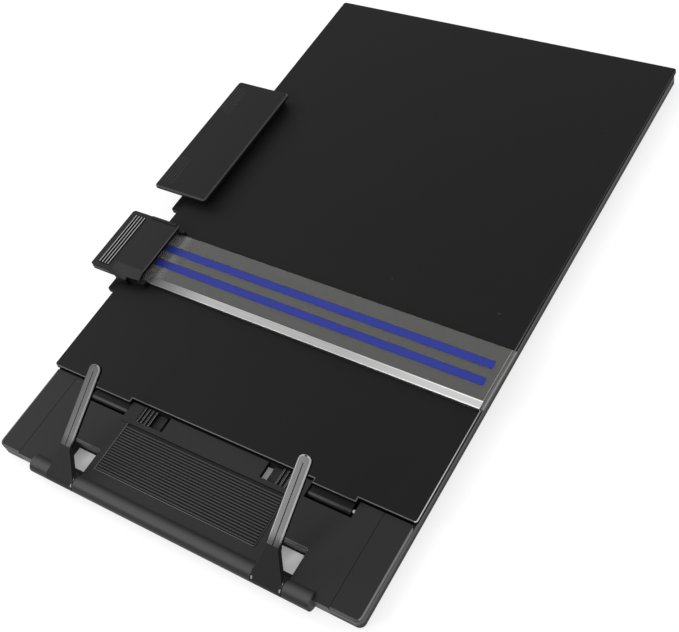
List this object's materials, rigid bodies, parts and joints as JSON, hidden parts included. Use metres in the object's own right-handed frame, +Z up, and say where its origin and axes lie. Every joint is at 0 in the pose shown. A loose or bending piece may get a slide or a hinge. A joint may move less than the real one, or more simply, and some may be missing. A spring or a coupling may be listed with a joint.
{
  "type": "copy holder with line guide",
  "caption": "Flat desk copy holder: a hinged board on a low base with a sliding clear line guide, a side clip and turning page holders.",
  "frame": {"origin": "middle of the part's plan, on the table under the rubber feet, with the board folded flat", "axes": "+X to the right across the board, +Y from the ledge to the board's far edge, +Z up"},
  "size_m": [0.264, 0.3932, 0.0419],
  "materials": {
    "base_plastic": "fine textured",
    "ledge_plastic": "fine textured",
    "dark_plastic": "satin",
    "board_plastic": "smooth matte",
    "grey_plastic": "satin",
    "pad_rubber": "ribbed",
    "foot_rubber": "matte",
    "pin_steel": "bright",
    "spring_steel": "bright",
    "washer_nylon": "satin",
    "clear_plastic": "clear",
    "strip_aluminium": "satin",
    "line_ink": "printed"
  },
  "bodies": {
    "base": {"base_tray": "base_plastic", "ledge_cover": "ledge_plastic", "wing_left": "ledge_plastic", "wing_right": "ledge_plastic", "grip_pad": "pad_rubber", "hinge_block": "dark_plastic", "hinge_pin_left": "pin_steel", "hinge_pin_right": "pin_steel", "latch_spring_left": "spring_steel", "latch_spring_right": "spring_steel", "page_holder_rod": "pin_steel", "friction_washers": "washer_nylon", "rubber_feet": "foot_rubber", "base_screws": "pin_steel"},
    "board": {"board": "board_plastic", "prop_axle": "pin_steel"},
    "prop": {"prop_leg": "dark_plastic", "prop_shoe": "foot_rubber"},
    "holder_left": {"prong_bracket_left": "dark_plastic", "prong_arm_left": "grey_plastic"},
    "holder_right": {"prong_bracket_right": "dark_plastic", "prong_arm_right": "grey_plastic"},
    "clip_carriage": {"clip_runner": "dark_plastic", "clip_pin": "pin_steel", "clip_spring": "spring_steel"},
    "clip": {"clip_plate": "ledge_plastic"},
    "guide_carriage": {"guide_runner": "dark_plastic", "guide_pin": "pin_steel", "guide_spring": "spring_steel"},
    "guide": {"guide_head": "ledge_plastic", "line_ruler": "clear_plastic", "ruler_strip": "strip_aluminium", "ruler_lines": "line_ink"},
    "latch_left": {"latch_left": "dark_plastic"},
    "latch_right": {"latch_right": "dark_plastic"}
  },
  "joints": [
    {"name": "board_tilt", "type": "hinge", "parent": "base", "child": "board", "pos_m": [0.01025, -0.1428, 0.006], "axis": [1, 0, 0], "range_deg": [0, 65]},
    {"name": "prop_turn", "type": "hinge", "parent": "board", "child": "prop", "pos_m": [0.01025, 0.0174, 0.006], "axis": [1, 0, 0], "range_deg": [-130, 0]},
    {"name": "page_holder_left", "type": "hinge", "parent": "base", "child": "holder_left", "pos_m": [-0.05795, -0.1916, 0.006], "axis": [1, 0, 0], "range_deg": [-27, 100]},
    {"name": "page_holder_right", "type": "hinge", "parent": "base", "child": "holder_right", "pos_m": [0.07845, -0.1916, 0.006], "axis": [1, 0, 0], "range_deg": [-27, 100]},
    {"name": "clip_slide", "type": "slide", "parent": "board", "child": "clip_carriage", "axis": [0, 1, 0], "range_m": [-0.015, 0.098]},
    {"name": "clip_open", "type": "hinge", "parent": "clip_carriage", "child": "clip", "pos_m": [-0.11425, 0.04625, 0.0116], "axis": [0, -1, 0], "range_deg": [0, 14], "stiffness_Nm_per_rad": 0.12, "springref_deg": -11.46, "deforming": ["clip_spring"]},
    {"name": "guide_slide", "type": "slide", "parent": "board", "child": "guide_carriage", "axis": [0, 1, 0], "range_m": [-0.056, 0.015]},
    {"name": "guide_open", "type": "hinge", "parent": "guide_carriage", "child": "guide", "pos_m": [-0.11425, -0.04965, 0.0122], "axis": [0, -1, 0], "range_deg": [0, 6], "stiffness_Nm_per_rad": 0.5, "springref_deg": -6.88, "deforming": ["guide_spring"]},
    {"name": "latch_left_slide", "type": "slide", "parent": "base", "child": "latch_left", "axis": [1, 0, 0], "range_m": [0, 0.003], "stiffness_N_per_m": 300, "springref_m": -0.001, "deforming": ["latch_spring_left"]},
    {"name": "latch_right_slide", "type": "slide", "parent": "base", "child": "latch_right", "axis": [-1, 0, 0], "range_m": [0, 0.003], "stiffness_N_per_m": 300, "springref_m": -0.001, "deforming": ["latch_spring_right"]}
  ],
  "couplings": [
    {"joint": "prop_turn", "follows": "board_tilt", "ratio": -2}
  ]
}
